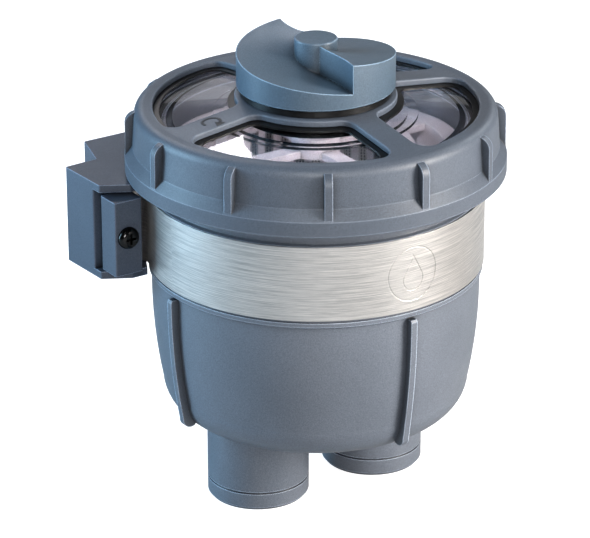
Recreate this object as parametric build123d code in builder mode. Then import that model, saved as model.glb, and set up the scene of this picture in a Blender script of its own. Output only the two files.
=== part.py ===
from build123d import *
from math import atan2, cos, radians, sin, sqrt
import os

# Cooling-water strainer: a moulded bowl with two hose tails underneath, a lift-out
# basket, a windowed screw lid with a centre knob, and a steel strap that holds the
# bowl in a bulkhead bracket.
#
# Millimetres. The origin is on the bowl's axis, in the plane of the hose tail ends.
# +Z is up, -Y is the front and +Y faces the bulkhead. The hose tails stand on X.

# Hose tails
hose_bore = 38.1
tail_pitch = 51.8
tail_bore = 30.0
spigot_radius = 17.2
tail_x = tail_pitch / 2
tail_radius = hose_bore / 2
tail_groove_z = 6.6
tail_groove_depth = 0.5
spigot_top_z = 44.0
standpipe_seat_z = 40.0
standpipe_seat_radius = 16.0
standpipe_radius = 15.9
standpipe_bore_radius = 14.4
standpipe_top_z = 114.0
gland_radius = 18.9
gland_depth = 1.3
tail_o_ring_radius = 18.05
tail_o_ring_section = 0.63
tail_nut_radius = 21.0
tail_nut_height = 4.5

# Bowl
floor_z = 30.7
wall = 4.0
floor_edge_radius = 44.0
corner_radius = 57.4
corner_top_z = 43.5
tail_boss_radius = 21.5
tail_boss_top_z = 37.5
lip_z = 86.9
lip_radius = 62.1
lip_gap = 1.0
neck_radius = 60.2
rim_z = 137.3
ledge_z = 126.9
cavity_radius = 57.2
ledge_radius = 52.6
rim_bore_radius = 54.4
rib_thickness = 2.6
rim_groove_outer = 59.0
rim_groove_inner = 55.6
rim_groove_depth = 2.6
lid_o_ring_radius = 57.3
lid_o_ring_section = 1.48
bowl_thread_heights = (127.0, 129.9, 132.8)
bowl_thread_radius = 61.2
thread_root = 1.1
thread_crest = 0.4

# Strap
strap_radius = 62.5
strap_gauge = 0.8
strap_z = 90.3
strap_height = 28.3
strap_top_z = strap_z + strap_height
strap_mid_z = strap_z + strap_height / 2
seat_radius = strap_radius - strap_gauge - 0.05
strap_end_y = 31.3
strap_end_x = 72.5
strap_bend_radius = 3.9
badge_radius = 10.5
badge_line = 0.5
badge_depth = 0.15
drop_tip = 7.5
drop_base = 6.5
drop_half_width = 4.0

# Bracket
wall_y = 72.6
bracket_z = 86.4
bracket_height = 37.1
plate_thickness = 2.9
cradle_radius = 63.0
ear_front_y = 35.2
ear_back_y = 53.8
clamp_x = 68.2
bracket_mid_z = bracket_z + bracket_height / 2
insert_x = 43.0
insert_pitch_z = 20.0
insert_radius = 3.6
insert_depth = 12.0
insert_bore_radius = 2.1
clamp_hole_radius = 2.2
nut_pocket_radius = 4.1
nut_pocket_depth = 3.4
clamp_nut_radius = 4.0
clamp_nut_height = 3.0
clamp_shank_radius = 2.0
clamp_head_radius = 4.2
clamp_head_height = 2.6
cross_length = 4.2
cross_width = 0.9
block_inner_x = 62.0
block_width = 11.5
block_depth = 10.0
block_height = 29.0
ear_outer_x = 75.2
rib_relief_width = 5.0
rib_relief_height = 1.6
pocket_x = 25.0
pocket_width = 18.0
pocket_height = 26.0
pocket_depth = 8.0

# Lid
flange_radius = 70.2
flange_z = 125.3
flange_top_z = 131.3
lid_rim_z = 149.9
spider_thickness = 2.4
hub_radius = 29.8
hub_z = 154.0
hub_flat_radius = 28.2
opening_radius = 59.6
crown_radius = 60.5
spoke_width = 10.8
window_corner = 5.5
grip_ribs = 12
grip_rib_thickness = 3.0
grip_rib_radius = 69.9
grip_rib_top_z = 148.2
lid_thread_heights = (128.45, 131.35)
lid_thread_radius = 61.7
lid_bore = 62.9
gasket_bore_radius = 12.0
gasket_thickness = 0.8
gasket_margin = 2.4
window_gap = 0.3
window_radius = 61.2
window_z = 137.9
window_hub_z = 141.8
window_hole_radius = 8.6
stem_bore_radius = 7.08

# Knob
knob_radius = 29.1
knob_z = 157.1
ramp_low_z = 162.7
ramp_high_z = 173.5
boss_radius = 7.9
knob_top_z = 175.3
step_angle = -97.0
step_swing = 17.0
step_mid_radius = 18.1
step_mid_swing = -1.4
step_rim_swing = 1.2
stem_radius = 7.0
stem_low_z = 135.4
socket_depth = 9.0
pin_radius = 1.25
pin_half_length = 12.0
pin_z = knob_z + 4
washer_radius = 27.6
washer_gap = 0.3
clip_z = window_hub_z - 1.7
clip_radius = 9.2
clip_thickness = 1.0
clip_groove_radius = stem_radius - 0.8
foot_radius = 6.2
foot_thickness = 1.6

# Basket
basket_floor_z = 45.3
basket_floor_thickness = 2.5
cage_radius = 48.8
cage_bars = 48
cage_top_z = 121.0
basket_rim_z = 127.2
basket_rim_top_z = 130.0
basket_rim_radius = 54.0
basket_rim_bore_radius = 47.0
basket_neck_radius = 51.9
bar_width = 2.8
bar_depth = 1.8
hoop_height = 2.0
hoop_heights = (66.0, 84.0, 102.0)
mesh_thickness = 0.4
sleeve_bore_radius = 16.6
sleeve_wall = 1.6
sleeve_top_z = 108.0
drain_pitch = 8.0
drain_radius = 1.8
handle_span = 93.4
handle_width = 6.0
handle_ring_radius = 36.5
handle_boss_radius = 9.0
handle_boss_height = 3.4


def radial_plane(angle):
    """A plane through the Z axis; its x points outwards at angle, its y up."""
    a = radians(angle)
    return Plane(origin=(0, 0, 0), x_dir=(cos(a), sin(a), 0), z_dir=(sin(a), -cos(a), 0))


def save(piece, name):
    piece.label = name
    export_step(piece, f"parts/{name}.step")


os.makedirs("parts", exist_ok=True)

# ---------------------------------------------------------------- bowl

with BuildPart() as housing:
    # Outer shape: flat floor, round corner, gently swelling wall, lip, strap seat, neck.
    with BuildSketch(Plane.XZ):
        with BuildLine():
            Line((0, floor_z), (floor_edge_radius, floor_z))
            ThreePointArc((floor_edge_radius, floor_z), (53.4, 34.6), (corner_radius, corner_top_z))
            ThreePointArc((corner_radius, corner_top_z), (60.1, 62), (61.0, lip_z))
            Polyline(
                (61.0, lip_z),
                (lip_radius, lip_z + 0.7),
                (lip_radius, strap_z - lip_gap),
                (seat_radius, strap_z - lip_gap),
                (seat_radius, strap_top_z),
                (neck_radius, strap_top_z + 0.6),
                (neck_radius, rim_z - 0.5),
                (neck_radius - 0.5, rim_z),
                (0, rim_z),
                (0, floor_z),
            )
        make_face()
    revolve(axis=Axis.Z)

    # Four stiffening ribs down the outside, each ending in a rounded foot.
    for angle in (-90, 0, 90, 180):
        with BuildSketch(radial_plane(angle)):
            with BuildLine():
                Polyline((50, 40), (50, lip_z - 0.3), (63.4, lip_z - 0.3), (63.9, lip_z - 1.2))
                ThreePointArc((63.9, lip_z - 1.2), (62.8, 62), (60.3, 43))
                Line((60.3, 43), (59.4, 37.8))
                ThreePointArc((59.4, 37.8), (57.6, 34.6), (54.6, 34.6))
                Line((54.6, 34.6), (50, 40))
            make_face()
        extrude(amount=rib_thickness / 2, both=True)

    # Cavity, with the ledge that the basket rim hangs on.
    with BuildSketch(Plane.XZ):
        with BuildLine():
            Line((0, floor_z + wall), (floor_edge_radius - 1, floor_z + wall))
            ThreePointArc((floor_edge_radius - 1, floor_z + wall), (50.6, 38.2), (53.6, 45))
            ThreePointArc((53.6, 45), (56.2, 62), (cavity_radius, 86))
            Polyline(
                (cavity_radius, 86),
                (cavity_radius, 116),
                (ledge_radius, 121),
                (ledge_radius, ledge_z),
                (rim_bore_radius, ledge_z),
                (rim_bore_radius, rim_z),
                (0, rim_z),
                (0, floor_z + wall),
            )
        make_face()
    revolve(axis=Axis.Z, mode=Mode.SUBTRACT)

    # Thickened floor round each hose tail.
    with BuildSketch(Plane.XY.offset(floor_z + 1)):
        with Locations((-tail_x, 0), (tail_x, 0)):
            Circle(tail_boss_radius)
    extrude(amount=tail_boss_top_z - floor_z - 1)

    # Tail holes, each with a gland for its O-ring in the underside.
    with BuildSketch(Plane.XY.offset(floor_z)):
        with Locations((-tail_x, 0), (tail_x, 0)):
            Circle(spigot_radius)
    extrude(amount=20, mode=Mode.SUBTRACT)
    with BuildSketch(Plane.XY.offset(floor_z)):
        with Locations((-tail_x, 0), (tail_x, 0)):
            Circle(gland_radius)
    extrude(amount=gland_depth, mode=Mode.SUBTRACT)

    # O-ring groove in the rim.
    with BuildSketch(Plane.XY.offset(rim_z)):
        Circle(rim_groove_outer)
        Circle(rim_groove_inner, mode=Mode.SUBTRACT)
    extrude(amount=-rim_groove_depth, mode=Mode.SUBTRACT)

    # External thread ridges.
    for ridge_z in bowl_thread_heights:
        with BuildSketch(Plane.XZ):
            Polygon(
                (neck_radius - 0.5, ridge_z - thread_root),
                (bowl_thread_radius, ridge_z - thread_crest),
                (bowl_thread_radius, ridge_z + thread_crest),
                (neck_radius - 0.5, ridge_z + thread_root),
                align=None,
            )
        revolve(axis=Axis.Z)
save(housing.part, "housing")

# ---------------------------------------------------------------- hose tails

with BuildPart() as hose_tail:
    with BuildSketch(Plane.XZ):
        with BuildLine():
            Polyline(
                (tail_bore / 2, 0),
                (tail_radius - 1.0, 0),
                (tail_radius, 1.2),
                (tail_radius, tail_groove_z),
                (tail_radius - tail_groove_depth, tail_groove_z + 0.2),
                (tail_radius - tail_groove_depth, tail_groove_z + 0.6),
                (tail_radius, tail_groove_z + 0.8),
                (tail_radius, floor_z),
                (spigot_radius, floor_z),
                (spigot_radius, spigot_top_z),
                (standpipe_seat_radius, spigot_top_z),
                (standpipe_seat_radius, standpipe_seat_z),
                (tail_bore / 2, standpipe_seat_z),
                (tail_bore / 2, 0),
            )
        make_face()
    revolve(axis=Axis.Z)

for name, x in (("inlet_hose_tail", -tail_x), ("outlet_hose_tail", tail_x)):
    with BuildPart() as tail:
        with Locations((x, 0, 0)):
            add(hose_tail.part)
    save(tail.part, name)

with BuildPart() as tail_o_rings:
    gland_mid_z = floor_z + gland_depth / 2
    with Locations((-tail_x, 0, gland_mid_z), (tail_x, 0, gland_mid_z)):
        Torus(tail_o_ring_radius, tail_o_ring_section)
save(tail_o_rings.part, "tail_o_rings")

with BuildPart() as tail_nuts:
    with BuildSketch(Plane.XY.offset(tail_boss_top_z)):
        with Locations((-tail_x, 0), (tail_x, 0)):
            RegularPolygon(tail_nut_radius, 8)
            Circle(spigot_radius, mode=Mode.SUBTRACT)
    extrude(amount=tail_nut_height)
save(tail_nuts.part, "tail_nuts")

with BuildPart() as inlet_standpipe:
    with BuildSketch(Plane.XY.offset(standpipe_seat_z)):
        with Locations((-tail_x, 0)):
            Circle(standpipe_radius)
            Circle(standpipe_bore_radius, mode=Mode.SUBTRACT)
    extrude(amount=standpipe_top_z - standpipe_seat_z)
save(inlet_standpipe.part, "inlet_standpipe")

with BuildPart() as lid_o_ring:
    with Locations((0, 0, rim_z - 1.1)):
        Torus(lid_o_ring_radius, lid_o_ring_section)
save(lid_o_ring.part, "lid_o_ring")

# ---------------------------------------------------------------- strap and bracket

# A plain round badge outline with a water drop, cut only skin deep.
with BuildPart() as badge:
    with BuildSketch(Plane.XZ.offset(strap_radius - 3)):
        with Locations((0, strap_mid_z)):
            Circle(badge_radius)
            Circle(badge_radius - badge_line, mode=Mode.SUBTRACT)
        for inset, mode in ((0, Mode.ADD), (badge_line, Mode.SUBTRACT)):
            tip = (0, strap_mid_z + drop_tip - 3 * inset)
            left = (inset - drop_half_width, strap_mid_z - inset / 2)
            right = (drop_half_width - inset, strap_mid_z - inset / 2)
            base = (0, strap_mid_z - drop_base + inset)
            with BuildLine():
                Line(tip, right)
                ThreePointArc(right, base, left)
                Line(left, tip)
            make_face(mode=mode)
    extrude(amount=6)
    with BuildSketch(Plane.XY.offset(strap_z)):
        Circle(strap_radius + 1)
        Circle(strap_radius - badge_depth, mode=Mode.SUBTRACT)
    extrude(amount=strap_height, mode=Mode.INTERSECT)

# The strap runs round the front of the bowl and its ends bend outwards behind the blocks.
strap_line_radius = strap_radius - strap_gauge / 2
end_line_y = strap_end_y + strap_gauge / 2
bend_y = end_line_y - strap_bend_radius
bend_x = sqrt((strap_line_radius + strap_bend_radius) ** 2 - bend_y**2)
bend_angle = atan2(bend_y, bend_x)
touch_x = strap_line_radius * cos(bend_angle)
touch_y = strap_line_radius * sin(bend_angle)
middle_angle = (radians(270) + bend_angle) / 2
middle_x = bend_x + strap_bend_radius * cos(middle_angle)
middle_y = bend_y + strap_bend_radius * sin(middle_angle)
with BuildPart() as strap:
    with BuildSketch(Plane.XY.offset(strap_z)):
        with BuildLine():
            ThreePointArc((-touch_x, touch_y), (0, -strap_line_radius), (touch_x, touch_y))
            for side in (-1, 1):
                ThreePointArc(
                    (side * touch_x, touch_y),
                    (side * middle_x, middle_y),
                    (side * bend_x, end_line_y),
                )
                Line((side * bend_x, end_line_y), (side * strap_end_x, end_line_y))
        trace(line_width=strap_gauge)
    extrude(amount=strap_height)
    with BuildSketch(Plane.XZ.offset(-strap_end_y - 3)):
        with Locations((-clamp_x, bracket_mid_z), (clamp_x, bracket_mid_z)):
            Circle(clamp_hole_radius + 0.2)
    extrude(amount=6, mode=Mode.SUBTRACT)
    add(badge.part, mode=Mode.SUBTRACT)
save(strap.part, "strap")

with BuildPart() as bracket:
    with BuildSketch(Plane.XY.offset(bracket_z)):
        with BuildLine():
            half = Polyline(
                (0, wall_y),
                (56.3, wall_y),
                (61.6, ear_back_y + 0.8),
                (ear_outer_x, ear_back_y),
                (ear_outer_x - 0.9, 30.9),
                (64.2, 25.3),
                (0, 25.3),
            )
            mirror(half, about=Plane.YZ)
        make_face()
        Circle(cradle_radius, mode=Mode.SUBTRACT)
    extrude(amount=bracket_height)
    # Between the top and bottom plates the front stops at the ear face.
    with BuildSketch(Plane.XY.offset(bracket_z + plate_thickness)):
        with Locations((0, 20)):
            Rectangle(160, ear_front_y - 20, align=(Align.CENTER, Align.MIN))
    extrude(amount=bracket_height - 2 * plate_thickness, mode=Mode.SUBTRACT)
    fillet(bracket.edges().filter_by(Axis.Z).filter_by(lambda e: abs(e.center().X) > 56), 0.7)
    # Relief over the bowl's rear rib.
    with BuildSketch(Plane.XY.offset(bracket_z)):
        with Locations((0, cradle_radius)):
            Rectangle(rib_relief_width, 4)
    extrude(amount=rib_relief_height, mode=Mode.SUBTRACT)
    # Clamp screw holes with a nut pocket at the back of each ear.
    with BuildSketch(Plane.XZ.offset(-ear_back_y - 1)):
        with Locations((-clamp_x, bracket_mid_z), (clamp_x, bracket_mid_z)):
            Circle(clamp_hole_radius)
    extrude(amount=20, mode=Mode.SUBTRACT)
    with BuildSketch(Plane.XZ.offset(-ear_back_y - 1)):
        with Locations((-clamp_x, bracket_mid_z), (clamp_x, bracket_mid_z)):
            RegularPolygon(nut_pocket_radius, 6)
    extrude(amount=nut_pocket_depth + 1, mode=Mode.SUBTRACT)
    # Threaded insert holes and lightening pockets in the wall face.
    with BuildSketch(Plane.XZ.offset(-wall_y)):
        with Locations((0, bracket_mid_z)):
            with GridLocations(2 * insert_x, insert_pitch_z, 2, 2):
                Circle(insert_radius)
    extrude(amount=insert_depth, mode=Mode.SUBTRACT)
    with BuildSketch(Plane.XZ.offset(-wall_y)):
        with Locations((-pocket_x, bracket_mid_z), (pocket_x, bracket_mid_z)):
            RectangleRounded(pocket_width, pocket_height, 2)
    extrude(amount=pocket_depth, mode=Mode.SUBTRACT)
save(bracket.part, "bracket")

with BuildPart() as wall_inserts:
    with BuildSketch(Plane.XZ.offset(-wall_y)):
        with Locations((0, bracket_mid_z)):
            with GridLocations(2 * insert_x, insert_pitch_z, 2, 2):
                Circle(insert_radius)
                Circle(insert_bore_radius, mode=Mode.SUBTRACT)
    extrude(amount=insert_depth)
save(wall_inserts.part, "wall_inserts")

with BuildPart() as bracket_pad:
    with BuildSketch(Plane.XY.offset(strap_z + 0.7)):
        Circle(cradle_radius - 0.05)
        Circle(seat_radius + 0.05, mode=Mode.SUBTRACT)
        with Locations((0, ear_front_y + 8)):
            Rectangle(160, 160, align=(Align.CENTER, Align.MAX), mode=Mode.SUBTRACT)
    extrude(amount=strap_height - 1.4)
save(bracket_pad.part, "bracket_pad")

for name, side in (("clamp_block_left", -1), ("clamp_block_right", 1)):
    with BuildPart() as clamp_block:
        with BuildSketch(Plane.XY.offset(strap_z)):
            with Locations((side * (block_inner_x + block_width / 2), strap_end_y - block_depth / 2)):
                RectangleRounded(block_width, block_depth, 0.6)
        extrude(amount=block_height)
        with BuildSketch(Plane.XZ.offset(-strap_end_y - 1)):
            with Locations((side * clamp_x, bracket_mid_z)):
                Circle(clamp_hole_radius)
        extrude(amount=block_depth + 2, mode=Mode.SUBTRACT)
    save(clamp_block.part, name)

head_face_y = strap_end_y - block_depth
with BuildPart() as clamp_screws:
    with BuildSketch(Plane.XZ.offset(-head_face_y)):
        with Locations((-clamp_x, bracket_mid_z), (clamp_x, bracket_mid_z)):
            Circle(clamp_head_radius)
    extrude(amount=clamp_head_height)
    fillet(clamp_screws.faces().sort_by(Axis.Y)[:2].edges(), 2.2)
    with BuildSketch(Plane.XZ.offset(-head_face_y)):
        with Locations((-clamp_x, bracket_mid_z), (clamp_x, bracket_mid_z)):
            Circle(clamp_shank_radius)
    extrude(amount=head_face_y - ear_back_y + 0.6)
    # Cross recess.
    with BuildSketch(Plane.XZ.offset(-head_face_y + clamp_head_height + 0.1)):
        with Locations((-clamp_x, bracket_mid_z), (clamp_x, bracket_mid_z)):
            Rectangle(cross_length, cross_width)
            Rectangle(cross_width, cross_length)
    extrude(amount=-1.6, mode=Mode.SUBTRACT)
save(clamp_screws.part, "clamp_screws")

with BuildPart() as clamp_nuts:
    with BuildSketch(Plane.XZ.offset(-ear_back_y + 0.2)):
        with Locations((-clamp_x, bracket_mid_z), (clamp_x, bracket_mid_z)):
            RegularPolygon(clamp_nut_radius, 6)
            Circle(clamp_shank_radius, mode=Mode.SUBTRACT)
    extrude(amount=clamp_nut_height)
save(clamp_nuts.part, "clamp_nuts")

# ---------------------------------------------------------------- lid


def window_sketch(margin, corner):
    """Four openings between the spokes, each side moved in by margin."""
    with BuildSketch(Plane.XY) as windows:
        Circle(opening_radius - margin)
        Circle(hub_radius + margin, mode=Mode.SUBTRACT)
        Rectangle(2 * flange_radius, spoke_width + 2 * margin, mode=Mode.SUBTRACT)
        Rectangle(spoke_width + 2 * margin, 2 * flange_radius, mode=Mode.SUBTRACT)
        fillet(windows.vertices(), corner)
    return windows.sketch


with BuildPart() as lid_ring:
    with BuildSketch(Plane.XZ):
        with BuildLine():
            Polyline(
                (stem_bore_radius, hub_z - spider_thickness),
                (hub_flat_radius, hub_z - spider_thickness),
                (crown_radius, lid_rim_z - spider_thickness),
                (lid_bore, lid_rim_z - spider_thickness),
                (lid_bore, flange_z + 1),
                (lid_bore + 1, flange_z),
                (flange_radius - 0.6, flange_z),
                (flange_radius, flange_z + 0.6),
                (flange_radius, flange_top_z),
                (67.4, 135.3),
                (66.6, 146.3),
            )
            ThreePointArc((66.6, 146.3), (65.5, 148.85), (63.0, lid_rim_z))
            Polyline(
                (63.0, lid_rim_z),
                (crown_radius, lid_rim_z),
                (hub_flat_radius, hub_z),
                (stem_bore_radius, hub_z),
                (stem_bore_radius, hub_z - spider_thickness),
            )
        make_face()
    revolve(axis=Axis.Z)
    with BuildSketch(Plane.XY.offset(lid_rim_z - spider_thickness - 1)):
        add(window_sketch(0, window_corner))
    extrude(amount=20, mode=Mode.SUBTRACT)
    window_edges = lid_ring.edges().filter_by(
        lambda e: e.center().Z > lid_rim_z
        and hub_radius - 1 < Vector(e.center().X, e.center().Y).length < opening_radius
        and min(abs(e.center().X), abs(e.center().Y)) > spoke_width / 2 - 0.5
    )
    fillet(window_edges, 0.5)
    # Grip ribs round the skirt.
    for k in range(grip_ribs):
        with BuildSketch(radial_plane(360 / grip_ribs * k)):
            with BuildLine():
                Polyline(
                    (65.6, grip_rib_top_z),
                    (64.5, grip_rib_top_z),
                    (64.5, flange_top_z - 1),
                    (grip_rib_radius, flange_top_z - 1),
                    (grip_rib_radius, grip_rib_top_z - 4.6),
                )
                ThreePointArc(
                    (grip_rib_radius, grip_rib_top_z - 4.6),
                    (grip_rib_radius - 1.3, grip_rib_top_z - 1.4),
                    (65.6, grip_rib_top_z),
                )
            make_face()
        extrude(amount=grip_rib_thickness / 2, both=True)
    # Internal thread ridges, clear of the bowl's.
    for ridge_z in lid_thread_heights:
        with BuildSketch(Plane.XZ):
            Polygon(
                (lid_bore + 0.5, ridge_z - thread_root),
                (lid_thread_radius, ridge_z - thread_crest),
                (lid_thread_radius, ridge_z + thread_crest),
                (lid_bore + 0.5, ridge_z + thread_root),
                align=None,
            )
        revolve(axis=Axis.Z)
save(lid_ring.part, "lid_ring")

gasket_top_z = hub_z - spider_thickness
gasket_drop = hub_z - lid_rim_z
with BuildPart() as window_gasket:
    with BuildSketch(Plane.XZ):
        Polygon(
            (gasket_bore_radius, gasket_top_z),
            (hub_flat_radius, gasket_top_z),
            (crown_radius, gasket_top_z - gasket_drop),
            (lid_bore - 0.1, gasket_top_z - gasket_drop),
            (lid_bore - 0.1, gasket_top_z - gasket_drop - gasket_thickness),
            (crown_radius, gasket_top_z - gasket_drop - gasket_thickness),
            (hub_flat_radius, gasket_top_z - gasket_thickness),
            (gasket_bore_radius, gasket_top_z - gasket_thickness),
            align=None,
        )
    revolve(axis=Axis.Z)
    with BuildSketch(Plane.XY.offset(lid_rim_z - 10)):
        add(window_sketch(gasket_margin, window_corner - 1))
    extrude(amount=20, mode=Mode.SUBTRACT)
save(window_gasket.part, "window_gasket")

window_top_z = gasket_top_z - gasket_thickness - window_gap
with BuildPart() as window_disc:
    # Low crown on top; underneath a flat rim, a hollow crown and a stepped hub.
    with BuildSketch(Plane.XZ):
        Polygon(
            (window_hole_radius, window_top_z),
            (hub_flat_radius, window_top_z),
            (crown_radius, window_top_z - gasket_drop),
            (window_radius, window_top_z - gasket_drop),
            (window_radius, window_z),
            (54.0, window_z),
            (52.0, window_z + 3.1),
            (37.0, window_z + 5.0),
            (37.0, window_z + 4.0),
            (33.0, window_z + 4.5),
            (33.0, window_z + 3.3),
            (hub_flat_radius, window_hub_z),
            (window_hole_radius, window_hub_z),
            align=None,
        )
    revolve(axis=Axis.Z)
save(window_disc.part, "window_disc")

with BuildPart() as stem_seal:
    with BuildSketch(Plane.XY.offset(window_hub_z + 0.5)):
        Circle(window_hole_radius - 0.05)
        Circle(stem_radius + 0.3, mode=Mode.SUBTRACT)
    extrude(amount=window_top_z - window_hub_z - 1)
save(stem_seal.part, "stem_seal")

# ---------------------------------------------------------------- knob

ramp_rise = ramp_high_z - ramp_low_z
beyond = knob_radius + 4


def turned(radius, angle):
    return (radius * cos(radians(angle)), radius * sin(radians(angle)))


with BuildPart() as ramp_cut:
    # Everything above one half-turn ramp, from the low step round to the high step.
    # The ramp climbs clockwise seen from above and runs on past both steps.
    for turn in range(-30, 211, 30):
        height = ramp_low_z + ramp_rise * turn / 180
        with BuildSketch(radial_plane(step_angle - turn)):
            with Locations((2, height)):
                Rectangle(beyond, 200 - height, align=(Align.MIN, Align.MIN))
    loft()
    # In plan the step is a shallow arc that swings round to meet the front of the boss.
    with BuildSketch(Plane.XY.offset(knob_z)):
        with BuildLine():
            step_inner = turned(boss_radius, step_angle - step_swing)
            step_outer = turned(beyond, step_angle - step_rim_swing)
            ramp_end = turned(beyond, step_angle - 200)
            Line((0, 0), step_inner)
            ThreePointArc(
                step_inner,
                turned(step_mid_radius, step_angle - step_mid_swing),
                step_outer,
            )
            ThreePointArc(step_outer, turned(beyond, step_angle - 100), ramp_end)
            Line(ramp_end, (0, 0))
        make_face()
        Circle(boss_radius, mode=Mode.SUBTRACT)
    extrude(amount=40, mode=Mode.INTERSECT)

with BuildPart() as knob:
    with BuildSketch(Plane.XY.offset(knob_z)):
        Circle(knob_radius)
    extrude(amount=knob_top_z - knob_z)
    add(ramp_cut.part, mode=Mode.SUBTRACT)
    add(ramp_cut.part.rotate(Axis.Z, 180), mode=Mode.SUBTRACT)
    fillet(knob.faces().sort_by(Axis.Z)[-1].edges(), 0.5)
    chamfer(knob.faces().sort_by(Axis.Z)[0].edges(), 0.4)
    # Blind socket for the stem and the cross hole for its pin.
    with BuildSketch(Plane.XY.offset(knob_z)):
        Circle(stem_radius)
    extrude(amount=socket_depth, mode=Mode.SUBTRACT)
    with BuildSketch(Plane.YZ):
        with Locations((0, pin_z)):
            Circle(pin_radius)
    extrude(amount=pin_half_length, both=True, mode=Mode.SUBTRACT)
save(knob.part, "knob")

with BuildPart() as knob_washer:
    with BuildSketch(Plane.XY.offset(hub_z + washer_gap)):
        Circle(washer_radius)
        Circle(stem_radius, mode=Mode.SUBTRACT)
    extrude(amount=knob_z - hub_z - washer_gap)
save(knob_washer.part, "knob_washer")

with BuildPart() as knob_stem:
    with BuildSketch(Plane.XY.offset(stem_low_z)):
        Circle(stem_radius)
    extrude(amount=knob_z + socket_depth - stem_low_z)
    with BuildSketch(Plane.XY.offset(clip_z)):
        Circle(stem_radius + 1)
        Circle(clip_groove_radius, mode=Mode.SUBTRACT)
    extrude(amount=clip_thickness, mode=Mode.SUBTRACT)
    with BuildSketch(Plane.YZ):
        with Locations((0, pin_z)):
            Circle(pin_radius)
    extrude(amount=pin_half_length, both=True, mode=Mode.SUBTRACT)
save(knob_stem.part, "knob_stem")

with BuildPart() as knob_pin:
    with BuildSketch(Plane.YZ):
        with Locations((0, pin_z)):
            Circle(pin_radius)
    extrude(amount=pin_half_length, both=True)
save(knob_pin.part, "knob_pin")

with BuildPart() as stem_clip:
    with BuildSketch(Plane.XY.offset(clip_z)):
        Circle(clip_radius)
        Circle(clip_groove_radius, mode=Mode.SUBTRACT)
        with Locations((8, 0)):
            Rectangle(8, 5, mode=Mode.SUBTRACT)
    extrude(amount=clip_thickness)
save(stem_clip.part, "stem_clip")

with BuildPart() as stem_foot:
    with BuildSketch(Plane.XY.offset(stem_low_z - foot_thickness)):
        Circle(foot_radius)
    extrude(amount=foot_thickness)
save(stem_foot.part, "stem_foot")

# ---------------------------------------------------------------- basket

basket_floor_top_z = basket_floor_z + basket_floor_thickness
with BuildPart() as basket_floor:
    with BuildSketch(Plane.XY.offset(basket_floor_z)):
        Circle(cage_radius)
        with Locations((-tail_x, 0)):
            Circle(sleeve_bore_radius, mode=Mode.SUBTRACT)
    extrude(amount=basket_floor_thickness)
    # Drain holes on a square grid, clear of the rim and the sleeve.
    grid = [drain_pitch * (k + 0.5) for k in range(-6, 6)]
    drains = [
        (x, y)
        for x in grid
        for y in grid
        if Vector(x, y).length < cage_radius - 4.8 and Vector(x + tail_x, y).length > 22
    ]
    with BuildSketch(Plane.XY.offset(basket_floor_z)):
        with Locations(*drains):
            Circle(drain_radius)
    extrude(amount=basket_floor_thickness, mode=Mode.SUBTRACT)
save(basket_floor.part, "basket_floor")

with BuildPart() as basket_sleeve:
    with BuildSketch(Plane.XY.offset(basket_floor_top_z)):
        with Locations((-tail_x, 0)):
            Circle(sleeve_bore_radius + sleeve_wall)
            Circle(sleeve_bore_radius, mode=Mode.SUBTRACT)
    extrude(amount=sleeve_top_z - basket_floor_top_z)
save(basket_sleeve.part, "basket_sleeve")

with BuildPart() as basket_cage:
    with BuildSketch(Plane.XY.offset(basket_floor_top_z)):
        with PolarLocations(cage_radius - bar_depth / 2, cage_bars):
            Rectangle(bar_depth, bar_width)
    extrude(amount=cage_top_z - basket_floor_top_z)
    for hoop_z in (basket_floor_top_z, *hoop_heights, cage_top_z - hoop_height):
        with BuildSketch(Plane.XY.offset(hoop_z)):
            Circle(cage_radius)
            Circle(cage_radius - bar_depth, mode=Mode.SUBTRACT)
        extrude(amount=hoop_height)
save(basket_cage.part, "basket_cage")

with BuildPart() as basket_mesh:
    with BuildSketch(Plane.XY.offset(basket_floor_top_z)):
        Circle(cage_radius + 0.1 + mesh_thickness)
        Circle(cage_radius + 0.1, mode=Mode.SUBTRACT)
    extrude(amount=cage_top_z - basket_floor_top_z)
save(basket_mesh.part, "basket_mesh")

with BuildPart() as basket_rim:
    with BuildSketch(Plane.XZ):
        Polygon(
            (basket_rim_bore_radius, cage_top_z),
            (basket_neck_radius, cage_top_z),
            (basket_neck_radius, basket_rim_z),
            (basket_rim_radius, basket_rim_z),
            (basket_rim_radius, basket_rim_top_z - 0.4),
            (basket_rim_radius - 0.4, basket_rim_top_z),
            (basket_rim_bore_radius, basket_rim_top_z),
            align=None,
        )
    revolve(axis=Axis.Z)
save(basket_rim.part, "basket_rim")

with BuildPart() as basket_handle:
    with BuildSketch(Plane.XY.offset(basket_rim_z)):
        Circle(handle_ring_radius)
        Circle(handle_ring_radius - handle_width / 2, mode=Mode.SUBTRACT)
        Rectangle(handle_span, handle_width)
        Rectangle(handle_width, handle_span)
        Circle(handle_boss_radius)
    extrude(amount=basket_rim_top_z - basket_rim_z)
    with BuildSketch(Plane.XY.offset(basket_rim_top_z)):
        Circle(handle_boss_radius)
    extrude(amount=handle_boss_height)
save(basket_handle.part, "basket_handle")
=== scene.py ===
import math

import bmesh
import bpy
from mathutils import Matrix, Vector


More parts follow.
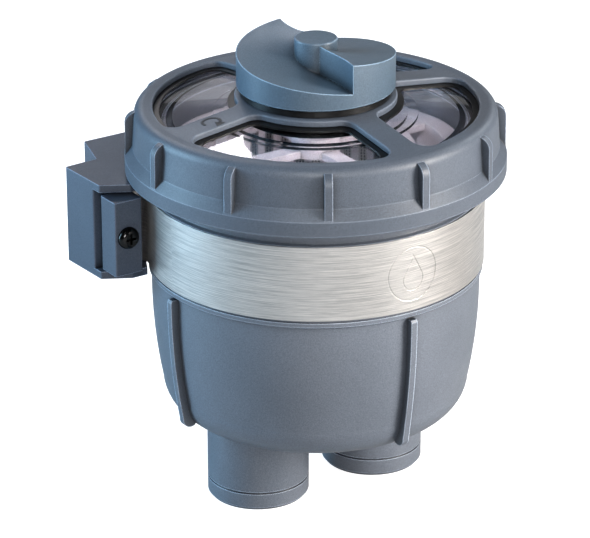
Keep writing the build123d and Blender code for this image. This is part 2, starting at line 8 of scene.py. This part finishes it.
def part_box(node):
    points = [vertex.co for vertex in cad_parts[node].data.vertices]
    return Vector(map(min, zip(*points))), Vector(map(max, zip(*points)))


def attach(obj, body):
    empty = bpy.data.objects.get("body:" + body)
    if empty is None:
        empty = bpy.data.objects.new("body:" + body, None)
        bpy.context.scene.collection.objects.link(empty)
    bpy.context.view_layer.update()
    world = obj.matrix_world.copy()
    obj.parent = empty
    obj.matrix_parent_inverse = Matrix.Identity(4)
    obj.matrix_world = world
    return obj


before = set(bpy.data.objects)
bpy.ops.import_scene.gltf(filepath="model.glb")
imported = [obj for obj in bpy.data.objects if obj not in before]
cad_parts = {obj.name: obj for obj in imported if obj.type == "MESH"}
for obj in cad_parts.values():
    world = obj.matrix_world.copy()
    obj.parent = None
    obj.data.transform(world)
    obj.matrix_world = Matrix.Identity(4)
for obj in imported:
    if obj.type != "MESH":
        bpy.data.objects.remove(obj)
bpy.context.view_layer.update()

MM = 0.001
LID_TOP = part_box("lid_ring")[1][2]
WHITE = (1.0, 1.0, 1.0)


# ------------------------------------------------------------------ material helpers

EDGE_SAMPLES = 4
OCCLUSION_SAMPLES = 6
FLAT_COSINE, SHARP_COSINE = 0.995, 0.80      # between the true and the rounded normal
WEAR_AND_HIGHLIGHT_PATCH = 1.5 * MM
WEAR_AND_HIGHLIGHT_REACH = 1.0 * MM


def new_material(name):
    material = bpy.data.materials.new(name)
    material.use_nodes = True
    nodes = material.node_tree.nodes
    return material, nodes, material.node_tree.links, nodes["Principled BSDF"]


def grey(value):
    return (value, value, value)


def scaled(colour, factor):
    """The colour times the factor, as an opaque RGBA value no brighter than white."""
    return (*(min(1.0, factor * channel) for channel in colour), 1.0)


def object_coordinates(nodes):
    return nodes.new("ShaderNodeTexCoord").outputs["Object"]


def cylindrical(nodes, links, around, up):
    """Object coordinates unrolled round Z: x is the angle times around, z the height times up."""
    split = nodes.new("ShaderNodeSeparateXYZ")
    links.new(object_coordinates(nodes), split.inputs["Vector"])
    angle = nodes.new("ShaderNodeMath")
    angle.operation = "ARCTAN2"
    links.new(split.outputs["Y"], angle.inputs[0])
    links.new(split.outputs["X"], angle.inputs[1])
    join = nodes.new("ShaderNodeCombineXYZ")
    for source, target, factor in (
        (angle.outputs["Value"], "X", around),
        (split.outputs["Z"], "Z", up),
    ):
        scale = nodes.new("ShaderNodeMath")
        scale.operation = "MULTIPLY"
        scale.inputs[1].default_value = factor
        links.new(source, scale.inputs[0])
        links.new(scale.outputs["Value"], join.inputs[target])
    return join.outputs["Vector"]


def noise(nodes, links, vector, size, detail=2.0, roughness=0.5):
    """Noise whose features have the given size, in the vector's own unit."""
    node = nodes.new("ShaderNodeTexNoise")
    node.inputs["Scale"].default_value = 1.0 / size
    node.inputs["Detail"].default_value = detail
    node.inputs["Roughness"].default_value = roughness
    links.new(vector, node.inputs["Vector"])
    return node.outputs["Fac"]


def ramp(nodes, links, value, stops):
    node = nodes.new("ShaderNodeValToRGB")
    elements = node.color_ramp.elements
    while len(elements) < len(stops):
        elements.new(0.5)
    for element, (position, colour) in zip(elements, stops):
        element.position = position
        element.color = (*colour, 1.0)
    links.new(value, node.inputs["Fac"])
    return node.outputs["Color"]


def rescale(nodes, links, value, low, high, start=0.0, end=1.0):
    """Maps start to low and end to high, and goes no further than either."""
    node = nodes.new("ShaderNodeMapRange")
    node.inputs["From Min"].default_value = start
    node.inputs["From Max"].default_value = end
    node.inputs["To Min"].default_value = low
    node.inputs["To Max"].default_value = high
    links.new(value, node.inputs["Value"])
    return node.outputs["Result"]


def multiply(nodes, links, a, b):
    node = nodes.new("ShaderNodeMath")
    node.operation = "MULTIPLY"
    links.new(a, node.inputs[0])
    links.new(b, node.inputs[1])
    return node.outputs["Value"]


def mix_colours(nodes, links, factor, a, b, blend="MIX"):
    """Mixes a and b; each input is a socket, or a fixed number or colour."""
    node = nodes.new("ShaderNodeMix")
    node.data_type = "RGBA"
    node.blend_type = blend
    for socket, value in (("Factor", factor), ("A", a), ("B", b)):
        if isinstance(value, bpy.types.NodeSocket):
            links.new(value, node.inputs[socket])
        else:
            node.inputs[socket].default_value = value
    return node.outputs["Result"]


def bump(nodes, links, height, distance, strength, normal=None):
    node = nodes.new("ShaderNodeBump")
    node.inputs["Distance"].default_value = distance
    node.inputs["Strength"].default_value = strength
    links.new(height, node.inputs["Height"])
    if normal is not None:
        links.new(normal, node.inputs["Normal"])
    return node.outputs["Normal"]


def soft_edges(nodes, radius):
    """Rounds the look of moulded edges."""
    node = nodes.new("ShaderNodeBevel")
    node.samples = EDGE_SAMPLES
    node.inputs["Radius"].default_value = radius
    return node.outputs["Normal"]


def openness(nodes, links, reach, closed, fully_open):
    """0 in the piece's own corners and grooves, 1 on its open faces and outer edges."""
    occlusion = nodes.new("ShaderNodeAmbientOcclusion")
    occlusion.samples = OCCLUSION_SAMPLES
    occlusion.only_local = True
    occlusion.inputs["Distance"].default_value = reach
    return rescale(nodes, links, occlusion.outputs["AO"], 0.0, 1.0, closed, fully_open)


def worn_and_highlit_edges(nodes, links, place, radius):
    """0 on open faces, rising to about 1 along sharp outer edges, broken up by noise: edge wear
    and painted highlight in one mask.
    """
    surface = nodes.new("ShaderNodeNewGeometry")
    dot = nodes.new("ShaderNodeVectorMath")
    dot.operation = "DOT_PRODUCT"
    links.new(soft_edges(nodes, radius), dot.inputs[0])
    links.new(surface.outputs["Normal"], dot.inputs[1])
    edge = rescale(nodes, links, dot.outputs["Value"], 0.0, 1.0, FLAT_COSINE, SHARP_COSINE)
    patches = noise(nodes, links, place, WEAR_AND_HIGHLIGHT_PATCH, detail=3.0)
    broken = rescale(nodes, links, patches, 0.5, 1.2)
    outer = openness(nodes, links, WEAR_AND_HIGHLIGHT_REACH, 0.80, 0.97)
    return multiply(nodes, links, edge, multiply(nodes, links, broken, outer))


# ------------------------------------------------------------------ materials

PLASTIC_DRIFT = 45 * MM
PLASTIC_SMEAR = 6 * MM
PLASTIC_GRAIN = 0.45 * MM
PLASTIC_SOFT_EDGE = 0.63 * MM
PLASTIC_WORN_HIGHLIT_EDGE = 0.675 * MM
SPECKLE_STRENGTH = 0.55
# Edge lightening: partly wear, partly a painted highlight along the rims.
WEAR_AND_HIGHLIGHT_LIGHTER = 4.8
# Painted shade: how dark the plastic gets in its own corners and grooves.
PAINTED_CREVICE_SHADE = 0.15
PAINTED_SHADE_REACH = 5.0 * MM


def moulded_plastic(name, dark, light, roughness):
    """Satin glass-filled plastic: tone drift, fine grain, edges lightened as wear and painted
    highlight, and painted shade darkening its corners and grooves.
    """
    material, nodes, links, shader = new_material(name)
    place = object_coordinates(nodes)
    drift = noise(nodes, links, place, PLASTIC_DRIFT, detail=3.0)
    tone = ramp(nodes, links, drift, [(0.3, dark), (0.7, light)])
    grain = noise(nodes, links, place, PLASTIC_GRAIN, detail=4.0, roughness=0.75)
    speckles = ramp(nodes, links, grain, [(0.34, grey(0.55)), (0.66, grey(1.40))])
    speckled = mix_colours(nodes, links, SPECKLE_STRENGTH, tone, speckles, "MULTIPLY")
    wear_and_highlight = worn_and_highlit_edges(nodes, links, place, PLASTIC_WORN_HIGHLIT_EDGE)
    # Lightens the sharp outer edges almost five times: partly wear, partly a painted highlight.
    rubbed_and_highlit = mix_colours(nodes, links, wear_and_highlight, speckled, scaled(light, WEAR_AND_HIGHLIGHT_LIGHTER))
    # Painted shade: towards its own corners and grooves the colour goes to a much darker copy of
    # the plastic.
    unshaded = openness(nodes, links, PAINTED_SHADE_REACH, 0.35, 0.92)
    colour = mix_colours(nodes, links, unshaded, scaled(dark, PAINTED_CREVICE_SHADE), rubbed_and_highlit)
    links.new(colour, shader.inputs["Base Color"])
    smear = noise(nodes, links, place, PLASTIC_SMEAR, detail=4.0, roughness=0.6)
    satin = rescale(nodes, links, smear, roughness - 0.06, roughness + 0.08)
    links.new(satin, shader.inputs["Roughness"])
    normal = soft_edges(nodes, PLASTIC_SOFT_EDGE)
    normal = bump(nodes, links, smear, distance=0.05 * MM, strength=0.25, normal=normal)
    normal = bump(nodes, links, grain, distance=0.03 * MM, strength=0.8, normal=normal)
    links.new(normal, shader.inputs["Normal"])
    return material


# Noise cells per radian round the strap and per metre up it.
BRUSHING = (6.0, 8000.0)
LONG_SCRATCHES = (1.8, 3200.0)
STRAP_DARK, STRAP_LIGHT = (0.34, 0.34, 0.34), (0.84, 0.81, 0.78)


def brushed_strap():
    """Stainless strip brushed along its length, with a few longer scratches."""
    material, nodes, links, shader = new_material("brushed_strap")
    place = cylindrical(nodes, links, *BRUSHING)
    brushing = noise(nodes, links, place, 1.0, detail=3.0, roughness=0.7)
    place = cylindrical(nodes, links, *LONG_SCRATCHES)
    scratches = noise(nodes, links, place, 1.0, detail=4.0, roughness=0.6)
    lines = multiply(nodes, links, brushing, scratches)
    tone = ramp(nodes, links, lines, [(0.10, STRAP_DARK), (0.36, STRAP_LIGHT)])
    links.new(tone, shader.inputs["Base Color"])
    links.new(rescale(nodes, links, brushing, 0.26, 0.46), shader.inputs["Roughness"])
    normal = soft_edges(nodes, 0.2 * MM)
    normal = bump(nodes, links, lines, distance=0.04 * MM, strength=0.9, normal=normal)
    links.new(normal, shader.inputs["Normal"])
    shader.inputs["Metallic"].default_value = 1.0
    shader.inputs["Anisotropic"].default_value = 0.6
    tangent = nodes.new("ShaderNodeTangent")
    tangent.direction_type = "RADIAL"
    tangent.axis = "Z"
    links.new(tangent.outputs["Tangent"], shader.inputs["Tangent"])
    return material


def bare_metal(name, colour, roughness):
    """Turned or plated metal with slightly darker, duller patches."""
    material, nodes, links, shader = new_material(name)
    patch = noise(nodes, links, object_coordinates(nodes), 3 * MM, detail=4.0, roughness=0.6)
    dark = tuple(0.7 * channel for channel in colour)
    tone = ramp(nodes, links, patch, [(0.3, dark), (0.65, colour)])
    links.new(tone, shader.inputs["Base Color"])
    dull = rescale(nodes, links, patch, roughness - 0.05, roughness + 0.12)
    links.new(dull, shader.inputs["Roughness"])
    normal = soft_edges(nodes, 0.15 * MM)
    normal = bump(nodes, links, patch, distance=0.02 * MM, strength=0.3, normal=normal)
    links.new(normal, shader.inputs["Normal"])
    shader.inputs["Metallic"].default_value = 1.0
    return material


def rubber(name, tone, roughness):
    """Black rubber with a little dust and a fine grain."""
    material, nodes, links, shader = new_material(name)
    place = object_coordinates(nodes)
    dust = noise(nodes, links, place, 4 * MM, detail=5.0, roughness=0.6)
    black = (tone, tone, tone * 1.05)
    dusty = (tone * 2.2, tone * 2.2, tone * 2.3)
    colour = ramp(nodes, links, dust, [(0.4, black), (0.75, dusty)])
    links.new(colour, shader.inputs["Base Color"])
    dull = rescale(nodes, links, dust, roughness, roughness + 0.2)
    links.new(dull, shader.inputs["Roughness"])
    grain = noise(nodes, links, place, 0.3 * MM)
    normal = bump(nodes, links, grain, distance=0.02 * MM, strength=0.4)
    links.new(normal, shader.inputs["Normal"])
    return material


def clear_window():
    """Clear moulded plastic, faintly smoky, that lets daylight through to the basket."""
    material, nodes, links, shader = new_material("clear_window")
    haze = noise(nodes, links, object_coordinates(nodes), 12 * MM, detail=3.0)
    links.new(rescale(nodes, links, haze, 0.015, 0.05), shader.inputs["Roughness"])
    normal = bump(nodes, links, haze, distance=0.02 * MM, strength=0.2)
    links.new(normal, shader.inputs["Normal"])
    shader.inputs["Base Color"].default_value = (0.97, 0.95, 0.98, 1.0)
    shader.inputs["Transmission Weight"].default_value = 1.0
    shader.inputs["IOR"].default_value = 1.49
    through = nodes.new("ShaderNodeBsdfTransparent")
    through.inputs["Color"].default_value = (0.97, 0.96, 0.98, 1.0)
    path = nodes.new("ShaderNodeLightPath")
    mix = nodes.new("ShaderNodeMixShader")
    links.new(path.outputs["Is Shadow Ray"], mix.inputs["Fac"])
    links.new(shader.outputs["BSDF"], mix.inputs[1])
    links.new(through.outputs["BSDF"], mix.inputs[2])
    links.new(mix.outputs["Shader"], nodes["Material Output"].inputs["Surface"])
    return material


# Scale of the wave texture per radian round the mesh and per metre up it: wires 1.2 mm apart.
MESH_AROUND = 12.8
MESH_UP = 262.0
MESH_GAP, MESH_WIRE = (0.03, 0.03, 0.03), (0.66, 0.65, 0.63)


def woven_mesh():
    """Fine stainless gauze, woven square: bright wires over dark gaps."""
    material, nodes, links, shader = new_material("woven_mesh")
    weave = nodes.new("ShaderNodeMath")
    weave.operation = "MAXIMUM"
    for k, (direction, around, up) in enumerate((("X", MESH_AROUND, 0.0), ("Z", 0.0, MESH_UP))):
        wave = nodes.new("ShaderNodeTexWave")
        wave.wave_profile = "SIN"
        wave.bands_direction = direction
        wave.inputs["Scale"].default_value = 1.0
        links.new(cylindrical(nodes, links, around, up), wave.inputs["Vector"])
        links.new(wave.outputs["Fac"], weave.inputs[k])
    height = weave.outputs["Value"]
    tone = ramp(nodes, links, height, [(0.42, MESH_GAP), (0.62, MESH_WIRE)])
    links.new(tone, shader.inputs["Base Color"])
    links.new(rescale(nodes, links, height, 0.6, 0.3), shader.inputs["Roughness"])
    normal = bump(nodes, links, height, distance=0.15 * MM, strength=0.8)
    links.new(normal, shader.inputs["Normal"])
    shader.inputs["Metallic"].default_value = 1.0
    return material


FLOOR_GLOW = 0.74
FLOOR_CLOUD = 0.5


def floor_material():
    """A pale floor whose glow only the camera sees, so that it adds no light."""
    material, nodes, links, shader = new_material("pale_floor")
    cloud = noise(nodes, links, object_coordinates(nodes), FLOOR_CLOUD)
    tone = ramp(nodes, links, cloud, [(0.3, grey(0.48)), (0.7, grey(0.52))])
    links.new(tone, shader.inputs["Base Color"])
    shader.inputs["Roughness"].default_value = 0.6
    shader.inputs["Emission Color"].default_value = (*WHITE, 1.0)
    path = nodes.new("ShaderNodeLightPath")
    glow = rescale(nodes, links, path.outputs["Is Camera Ray"], 0.0, FLOOR_GLOW)
    links.new(glow, shader.inputs["Emission Strength"])
    return material


BOWL = moulded_plastic("bowl_plastic", (0.110, 0.126, 0.152), (0.134, 0.152, 0.182), 0.42)
LID = moulded_plastic("lid_plastic", (0.076, 0.091, 0.115), (0.094, 0.111, 0.139), 0.46)
KNOB = moulded_plastic("knob_plastic", (0.072, 0.106, 0.142), (0.090, 0.127, 0.166), 0.40)
BRACKET = moulded_plastic("bracket_plastic", (0.058, 0.072, 0.098), (0.074, 0.090, 0.120), 0.42)
BASKET = moulded_plastic("basket_plastic", (0.78, 0.74, 0.78), (0.86, 0.82, 0.85), 0.34)
ARROW = moulded_plastic("arrow_plastic", (0.006, 0.008, 0.011), (0.009, 0.012, 0.016), 0.5)
BLACK_STEEL = bare_metal("black_steel", (0.050, 0.050, 0.050), 0.16)
PLATED_STEEL = bare_metal("plated_steel", (0.72, 0.72, 0.72), 0.22)
BRASS = bare_metal("insert_brass", (0.78, 0.58, 0.26), 0.28)
SEAL = rubber("seal_rubber", 0.010, 0.55)
GASKET = rubber("gasket_rubber", 0.004, 0.30)

NODE_MATERIALS = {
    "housing": BOWL, "inlet_hose_tail": BOWL, "outlet_hose_tail": BOWL, "tail_nuts": BOWL,
    "lid_ring": LID, "knob": KNOB,
    "bracket": BRACKET, "clamp_block_left": BRACKET, "clamp_block_right": BRACKET,
    "inlet_standpipe": BASKET, "basket_floor": BASKET, "basket_sleeve": BASKET,
    "basket_cage": BASKET, "basket_rim": BASKET, "basket_handle": BASKET,
    "basket_mesh": woven_mesh(), "strap": brushed_strap(), "window_disc": clear_window(),
    "clamp_screws": BLACK_STEEL, "clamp_nuts": PLATED_STEEL, "knob_stem": PLATED_STEEL,
    "knob_pin": PLATED_STEEL, "stem_clip": PLATED_STEEL, "wall_inserts": BRASS,
    "tail_o_rings": SEAL, "lid_o_ring": SEAL, "stem_seal": SEAL, "bracket_pad": SEAL,
    "stem_foot": SEAL, "window_gasket": GASKET, "knob_washer": GASKET,
}


def dress_nodes():
    for name, material in NODE_MATERIALS.items():
        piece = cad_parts[name]
        piece.data.materials.clear()
        piece.data.materials.append(material)


# ------------------------------------------------------------------ turning arrow on the lid

CROWN_FLAT_RADIUS = 28.2 * MM
CROWN_EDGE_RADIUS = 60.5 * MM
CROWN_DROP = 4.1 * MM

ARROW_CENTRE = Vector((-45 * MM, 0))
ARROW_OUTER, ARROW_INNER = 3.8 * MM, 2.7 * MM
ARROW_START, ARROW_SWEEP = math.radians(200), math.radians(-250)
ARROW_STEPS = 28
ARROW_HEAD_HALF_WIDTH, ARROW_HEAD_LENGTH = 2.0 * MM, 3.5 * MM
ARROW_RISE, ARROW_SINK = 0.12 * MM, 0.1 * MM


def spoke_height(radius):
    """Height of the spoke's top at the given radius: flat by the hub, then falling outwards."""
    outwards = (radius - CROWN_FLAT_RADIUS) / (CROWN_EDGE_RADIUS - CROWN_FLAT_RADIUS)
    return LID_TOP - CROWN_DROP * max(0.0, outwards)


def at_angle(angle):
    return Vector((math.cos(angle), math.sin(angle)))


def arrow_outlines():
    """The outlines, in plan, of the arrow's curved shaft and of its head."""
    angles = [ARROW_START + ARROW_SWEEP * k / ARROW_STEPS for k in range(ARROW_STEPS + 1)]
    shaft = [ARROW_CENTRE + ARROW_OUTER * at_angle(angle) for angle in angles]
    shaft += [ARROW_CENTRE + ARROW_INNER * at_angle(angle) for angle in reversed(angles)]
    outwards = at_angle(angles[-1])
    onwards = Vector((outwards.y, -outwards.x))
    base = ARROW_CENTRE + (ARROW_OUTER + ARROW_INNER) / 2 * outwards
    head = [
        base + ARROW_HEAD_HALF_WIDTH * outwards,
        base + ARROW_HEAD_LENGTH * onwards,
        base - ARROW_HEAD_HALF_WIDTH * outwards,
    ]
    return shaft, head


def turning_arrow():
    """A plain curved arrow, raised a hair above the left spoke."""
    mesh = bmesh.new()
    for points in arrow_outlines():
        top, bottom = [
            [mesh.verts.new((p.x, p.y, spoke_height(p.length) + lift)) for p in points]
            for lift in (ARROW_RISE, -ARROW_SINK)
        ]
        mesh.faces.new(top)
        mesh.faces.new(list(reversed(bottom)))
        for k in range(len(points)):
            n = (k + 1) % len(points)
            mesh.faces.new((top[k], bottom[k], bottom[n], top[n]))
    bmesh.ops.triangulate(mesh, faces=[face for face in mesh.faces if len(face.verts) > 4])
    bmesh.ops.recalc_face_normals(mesh, faces=mesh.faces)
    data = bpy.data.meshes.new("turning_arrow")
    mesh.to_mesh(data)
    mesh.free()
    piece = bpy.data.objects.new("turning_arrow", data)
    bpy.context.collection.objects.link(piece)
    piece.data.materials.append(ARROW)
    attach(piece, "lid")


# ------------------------------------------------------------------ floor, light and camera

FLOOR_SIZE = 8.0


def make_floor():
    bpy.ops.mesh.primitive_plane_add(size=FLOOR_SIZE, location=(0, 0, 0))
    floor = bpy.context.object
    floor.name = "floor"
    floor.data.materials.append(floor_material())


SKY_COLOUR = (0.93, 0.96, 1.0)
SKY_STRENGTH = 0.07


def make_world():
    """A dim sky for the light, and plain white where the camera sees it."""
    world = bpy.data.worlds.new("studio")
    world.use_nodes = True
    nodes = world.node_tree.nodes
    links = world.node_tree.links
    dim = nodes["Background"]
    dim.inputs["Color"].default_value = (*SKY_COLOUR, 1.0)
    dim.inputs["Strength"].default_value = SKY_STRENGTH
    white = nodes.new("ShaderNodeBackground")
    white.inputs["Color"].default_value = (*WHITE, 1.0)
    path = nodes.new("ShaderNodeLightPath")
    mix = nodes.new("ShaderNodeMixShader")
    links.new(path.outputs["Is Camera Ray"], mix.inputs["Fac"])
    links.new(dim.outputs["Background"], mix.inputs[1])
    links.new(white.outputs["Background"], mix.inputs[2])
    links.new(mix.outputs["Shader"], nodes["World Output"].inputs["Surface"])
    bpy.context.scene.world = world


VIEW_AZIMUTH = math.radians(-33.75)


def from_view(right, away, up):
    """A point to the right of, beyond and above the bowl's foot as the camera sees it."""
    c, s = math.cos(VIEW_AZIMUTH), math.sin(VIEW_AZIMUTH)
    return Vector((right * c - away * s, right * s + away * c, up))


def add_lamp(data, place, target):
    lamp = bpy.data.objects.new(data.name, data)
    lamp.location = place
    lamp.rotation_euler = (target - place).to_track_quat("-Z", "Y").to_euler()
    bpy.context.collection.objects.link(lamp)


# Name, place (right, away, up), width, height, watts and colour; all face the bowl's middle.
BOWL_MIDDLE = Vector((0, 0, 0.10))
SOFTBOXES = (
    ("left_cool", (-1.0, 0.0, 0.28), 0.32, 0.9, 16.0, (0.48, 0.77, 1.0)),
    ("right_warm", (0.94, -0.36, 0.44), 0.36, 0.56, 17.8, (1.0, 0.95, 0.90)),
    ("front_fill", (0.15, -1.4, 0.50), 0.4, 0.3, 8.0, (1.0, 0.98, 0.98)),
    ("back_right", (0.75, 0.80, 0.80), 0.3, 0.25, 2.6, (0.90, 0.97, 1.0)),
    ("backdrop", (0.10, 1.25, 0.36), 1.6, 0.35, 0.7, (0.97, 0.98, 1.0)),
    ("window_card", (-0.36, 0.76, 0.74), 0.56, 0.16, 2.3, (1.0, 0.97, 1.0)),
)

SPOT_PLACE = (-0.05, -1.25, 1.15)
SPOT_WATTS = 38.0
SPOT_ANGLE = math.radians(7.0)
SPOT_BLEND = 0.6
SPOT_RADIUS = 0.06


def make_lights():
    for name, place, width, height, watts, colour in SOFTBOXES:
        data = bpy.data.lights.new(name, "AREA")
        data.shape = "RECTANGLE"
        data.size, data.size_y = width, height
        data.energy = watts
        data.color = colour
        add_lamp(data, from_view(*place), BOWL_MIDDLE)
    spot = bpy.data.lights.new("lid_spot", "SPOT")
    spot.energy = SPOT_WATTS
    spot.spot_size = SPOT_ANGLE
    spot.spot_blend = SPOT_BLEND
    spot.shadow_soft_size = SPOT_RADIUS
    add_lamp(spot, from_view(*SPOT_PLACE), Vector((0, 0, LID_TOP)))


CAMERA_DISTANCE, CAMERA_HEIGHT = 1.1646, 0.5837
CAMERA_PITCH, CAMERA_YAW, CAMERA_ROLL = 0.4054, -0.0066, 0.0015
CAMERA_LENS, CAMERA_SENSOR = 207.5, 36.0
CAMERA_CLIP = (0.05, 50.0)


def make_camera():
    """At the photograph's angle: a long lens from the front left, looking 23 degrees down."""
    data = bpy.data.cameras.new("camera")
    data.sensor_width = CAMERA_SENSOR
    data.lens = CAMERA_LENS
    data.clip_start, data.clip_end = CAMERA_CLIP
    camera = bpy.data.objects.new("camera", data)
    forward = Vector((
        math.sin(CAMERA_YAW) * math.cos(CAMERA_PITCH),
        math.cos(CAMERA_YAW) * math.cos(CAMERA_PITCH),
        -math.sin(CAMERA_PITCH),
    ))
    right = Vector((math.cos(CAMERA_YAW), -math.sin(CAMERA_YAW), 0))
    down = forward.cross(right)
    right, down = (
        right * math.cos(CAMERA_ROLL) + down * math.sin(CAMERA_ROLL),
        down * math.cos(CAMERA_ROLL) - right * math.sin(CAMERA_ROLL),
    )
    facing = Matrix((right, -down, -forward)).transposed().to_4x4()
    turn = Matrix.Rotation(VIEW_AZIMUTH, 4, "Z")
    place = Matrix.Translation((0, -CAMERA_DISTANCE, CAMERA_HEIGHT))
    camera.matrix_world = turn @ place @ facing
    bpy.context.collection.objects.link(camera)
    bpy.context.scene.camera = camera


dress_nodes()
turning_arrow()
make_floor()
make_world()
make_lights()
make_camera()
bpy.context.scene.view_settings.view_transform = "Standard"
bpy.context.scene.view_settings.look = "Medium High Contrast"
